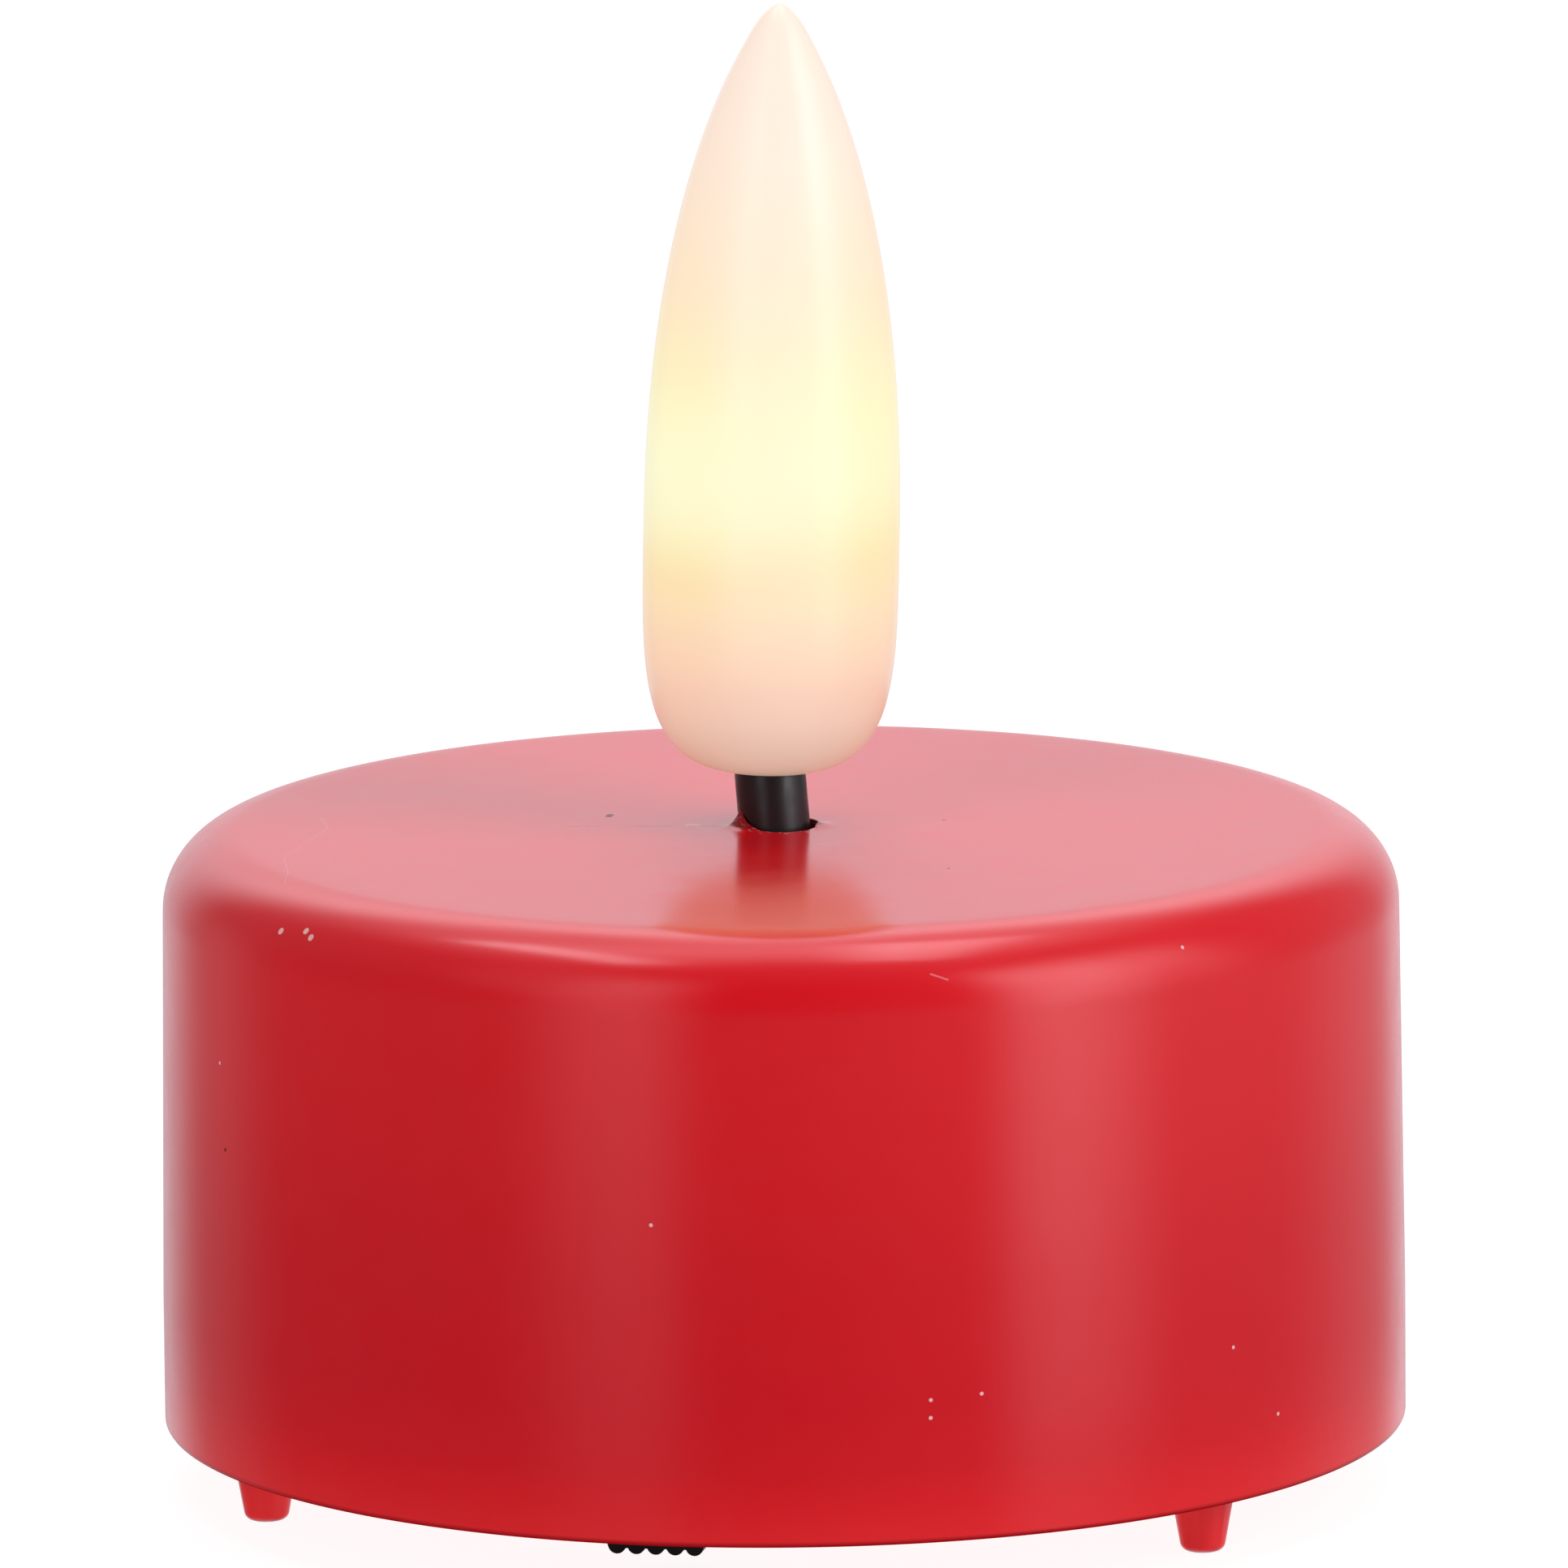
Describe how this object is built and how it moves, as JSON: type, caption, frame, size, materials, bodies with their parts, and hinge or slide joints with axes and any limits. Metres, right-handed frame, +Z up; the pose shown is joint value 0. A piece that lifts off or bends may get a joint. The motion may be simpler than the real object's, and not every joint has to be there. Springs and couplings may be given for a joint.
{
  "type": "flameless led tealight candle",
  "caption": "Battery tealight: round moulded body with a hollow glowing flame on a short black sleeve, a slide switch and a screwed battery door underneath.",
  "frame": {"origin": "on the surface that the three feet stand on, below the centre of the round body", "axes": "+Z up through the middle of the body towards the flame; -Y towards the slide switch; +X along the switch's travel, towards the end marked with a ring"},
  "size_m": [0.038, 0.038, 0.0455],
  "materials": {
    "red_body": "satin moulded polypropylene, faint fine texture",
    "red_base": "satin moulded plastic",
    "flame": "translucent milky plastic, lit from inside with warm light",
    "sleeve_black": "semi-gloss black tube",
    "black_plastic": "satin black",
    "steel": "zinc plated",
    "nickel": "nickel plated, brushed",
    "tin": "tinned",
    "brass": "bright",
    "nylon": "natural nylon",
    "phenolic": "brown phenolic board",
    "board_green": "green solder mask",
    "chip_black": "matt moulded epoxy",
    "ceramic_tan": "fired ceramic",
    "cell_core": "pressed powder",
    "gasket": "matt",
    "led_lens": "clear epoxy with a warm glow",
    "wire_red": "smooth insulation",
    "wire_black": "smooth insulation"
  },
  "bodies": {
    "candle": {"outer_shell": "red_body", "base_plate": "red_base", "switch_frame": "steel", "switch_board": "phenolic", "switch_pins": "tin", "circuit_board": "board_green", "timer_chip": "chip_black", "chip_legs": "tin", "chip_resistor": "chip_black", "chip_capacitor": "ceramic_tan", "board_screws": "steel", "positive_contact": "nickel", "negative_contact": "nickel", "cell_can": "nickel", "cell_core": "cell_core", "cell_gasket": "gasket", "cell_cap": "nickel", "led_lens": "led_lens", "led_legs": "tin", "led_wire_red": "wire_red", "led_wire_black": "wire_black", "wick_sleeve": "sleeve_black", "sleeve_collar": "nylon", "flame_tip": "flame"},
    "switch_slider": {"switch_knob": "black_plastic", "switch_wiper": "brass"},
    "battery_cover": {"battery_door": "red_base", "screw_retainer": "nylon"},
    "cover_screw": {"door_screw": "steel"}
  },
  "joints": [
    {"name": "switch_slide", "type": "slide", "parent": "candle", "child": "switch_slider", "axis": [1, 0, 0], "range_m": [0, 0.0022]},
    {"name": "door_slide", "type": "slide", "parent": "candle", "child": "battery_cover", "axis": [0, 0, -1], "range_m": [0, 0.01]},
    {"name": "screw_turn", "type": "hinge", "parent": "battery_cover", "child": "cover_screw", "pos_m": [0, -0.0092, 0.004], "axis": [0, 0, 1], "continuous": true}
  ]
}
